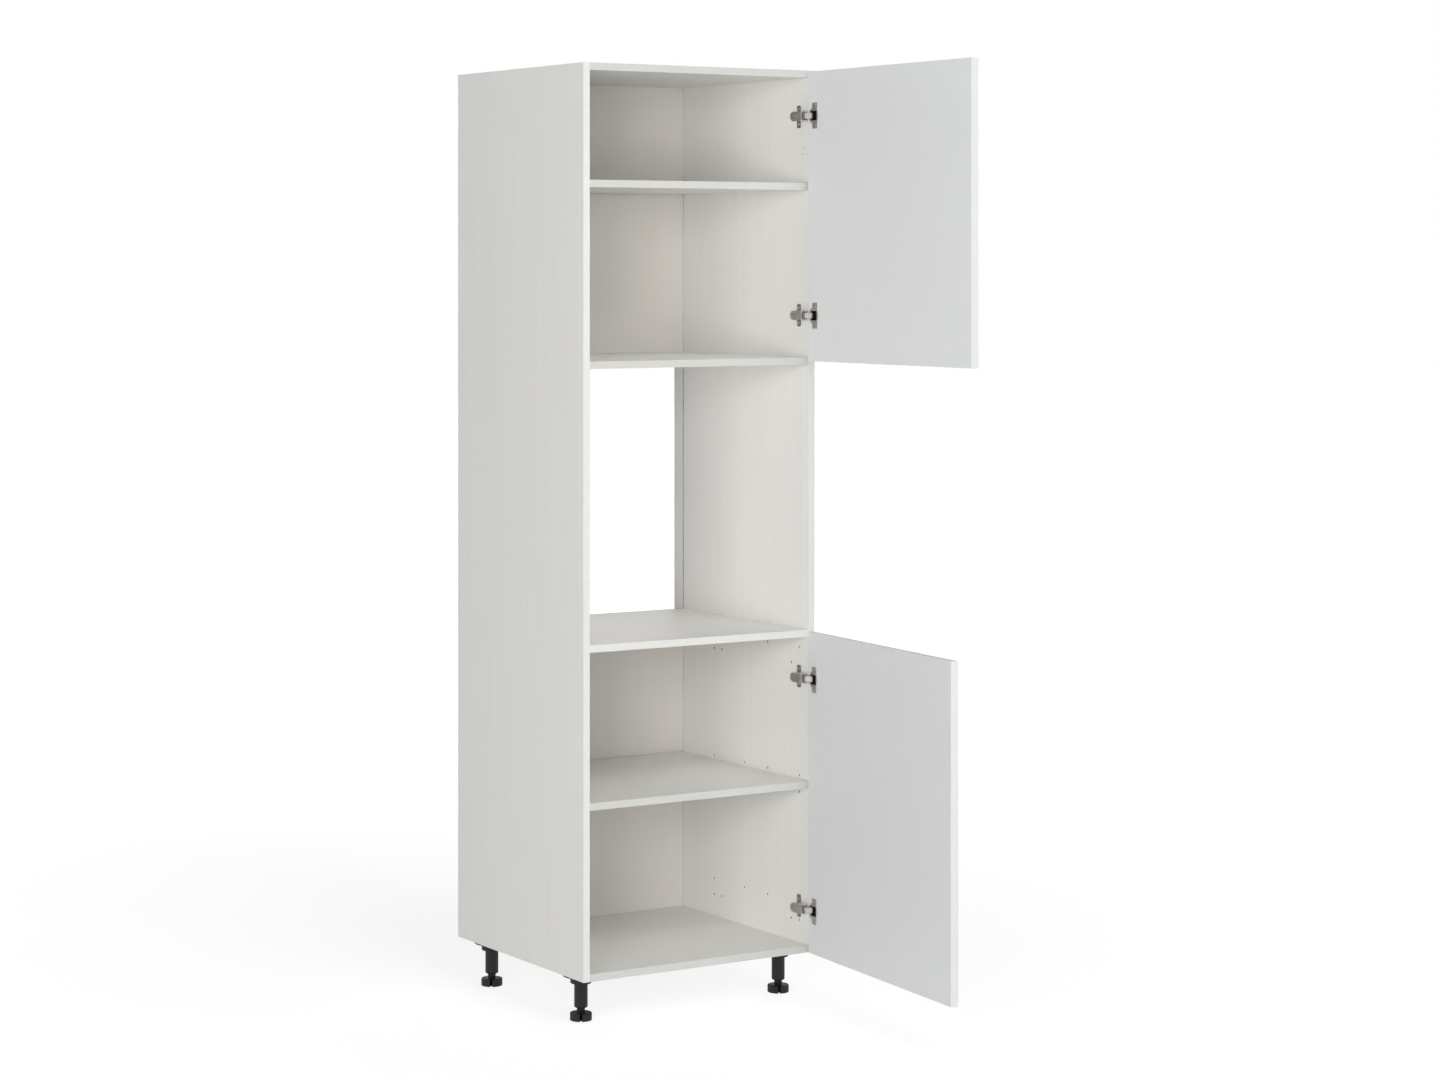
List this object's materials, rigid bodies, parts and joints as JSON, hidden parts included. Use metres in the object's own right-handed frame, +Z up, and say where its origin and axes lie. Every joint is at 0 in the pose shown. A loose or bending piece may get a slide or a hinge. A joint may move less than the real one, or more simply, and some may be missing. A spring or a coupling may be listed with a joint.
{
  "type": "tall oven housing cabinet",
  "caption": "Tall white kitchen cabinet on adjustable legs with an open oven niche between an upper and a lower compartment, each with a loose shelf and a hinged door.",
  "frame": {"origin": "on the floor, midway between the four feet", "axes": "+X to the right as seen from the front, +Y to the back of the cabinet, +Z up; the doors open towards -Y"},
  "size_m": [0.6, 1.1756, 2.07],
  "materials": {
    "carcass_laminate": "matt white melamine laminate on chipboard, faint vertical grain",
    "door_laminate": "matt white laminate on both faces, white edge band",
    "back_hardboard": "hardboard with a white lacquered face",
    "beech": "raw beech",
    "hinge_steel": "nickel-plated steel, satin",
    "lever_steel": "bright nickel",
    "zinc_steel": "zinc-plated steel",
    "black_plastic": "matt black moulded plastic"
  },
  "bodies": {
    "carcass": {"side_panel_left": "carcass_laminate", "side_panel_right": "carcass_laminate", "top_panel": "carcass_laminate", "niche_top_panel": "carcass_laminate", "niche_floor_panel": "carcass_laminate", "bottom_panel": "carcass_laminate", "back_panel_upper": "back_hardboard", "back_panel_lower": "back_hardboard", "dowels": "beech", "back_screws": "zinc_steel", "shelf_pins_upper": "zinc_steel", "shelf_pins_lower": "zinc_steel", "leg_flanges": "black_plastic", "leg_flange_screws": "zinc_steel", "leg_tubes": "black_plastic", "hinge_plates_upper": "hinge_steel", "hinge_plate_screws_upper": "zinc_steel", "hinge_arms_upper": "hinge_steel", "hinge_arm_screws_upper": "zinc_steel", "hinge_arm_pins_upper": "zinc_steel", "hinge_springs_upper": "hinge_steel", "hinge_plates_lower": "hinge_steel", "hinge_plate_screws_lower": "zinc_steel", "hinge_arms_lower": "hinge_steel", "hinge_arm_screws_lower": "zinc_steel", "hinge_arm_pins_lower": "zinc_steel", "hinge_springs_lower": "hinge_steel"},
    "shelf_upper": {"shelf_upper": "carcass_laminate"},
    "levers_upper": {"hinge_outer_levers_upper": "lever_steel", "hinge_inner_levers_upper": "lever_steel"},
    "door_upper": {"door_upper": "door_laminate", "hinge_cups_upper": "hinge_steel", "hinge_cup_pins_upper": "zinc_steel", "hinge_cup_screws_upper": "zinc_steel"},
    "shelf_lower": {"shelf_lower": "carcass_laminate"},
    "levers_lower": {"hinge_outer_levers_lower": "lever_steel", "hinge_inner_levers_lower": "lever_steel"},
    "door_lower": {"door_lower": "door_laminate", "hinge_cups_lower": "hinge_steel", "hinge_cup_pins_lower": "zinc_steel", "hinge_cup_screws_lower": "zinc_steel"},
    "foot_front_left": {"foot_front_left": "black_plastic"},
    "foot_front_right": {"foot_front_right": "black_plastic"},
    "foot_rear_left": {"foot_rear_left": "black_plastic"},
    "foot_rear_right": {"foot_rear_right": "black_plastic"}
  },
  "joints": [
    {"name": "levers_upper_swing", "type": "hinge", "parent": "carcass", "child": "levers_upper", "pos_m": [0.2655, -0.2805, 1.74525], "axis": [0, 0, 1], "range_deg": [-4.49, 40.05]},
    {"name": "door_upper_swing", "type": "hinge", "parent": "levers_upper", "child": "door_upper", "pos_m": [0.27876, -0.3039, 1.74525], "axis": [0, 0, 1], "range_deg": [-130, 14.44]},
    {"name": "levers_lower_swing", "type": "hinge", "parent": "carcass", "child": "levers_lower", "pos_m": [0.2655, -0.2805, 0.45325], "axis": [0, 0, 1], "range_deg": [-6.72, 37.83]},
    {"name": "door_lower_swing", "type": "hinge", "parent": "levers_lower", "child": "door_lower", "pos_m": [0.27966, -0.30337, 0.45325], "axis": [0, 0, 1], "range_deg": [-122.78, 21.67]},
    {"name": "shelf_upper_lift", "type": "slide", "parent": "carcass", "child": "shelf_upper", "axis": [0, 0, 1], "range_m": [0, 0.03]},
    {"name": "shelf_lower_lift", "type": "slide", "parent": "carcass", "child": "shelf_lower", "axis": [0, 0, 1], "range_m": [0, 0.03]},
    {"name": "foot_front_left_adjust", "type": "slide", "parent": "carcass", "child": "foot_front_left", "axis": [0, 0, -1], "range_m": [-0.006, 0.02]},
    {"name": "foot_front_right_adjust", "type": "slide", "parent": "carcass", "child": "foot_front_right", "axis": [0, 0, -1], "range_m": [-0.006, 0.02]},
    {"name": "foot_rear_left_adjust", "type": "slide", "parent": "carcass", "child": "foot_rear_left", "axis": [0, 0, -1], "range_m": [-0.006, 0.02]},
    {"name": "foot_rear_right_adjust", "type": "slide", "parent": "carcass", "child": "foot_rear_right", "axis": [0, 0, -1], "range_m": [-0.006, 0.02]}
  ],
  "couplings": [
    {"joint": "levers_upper_swing", "follows": "door_upper_swing", "ratio": -0.30769},
    {"joint": "levers_lower_swing", "follows": "door_lower_swing", "ratio": -0.30769}
  ]
}
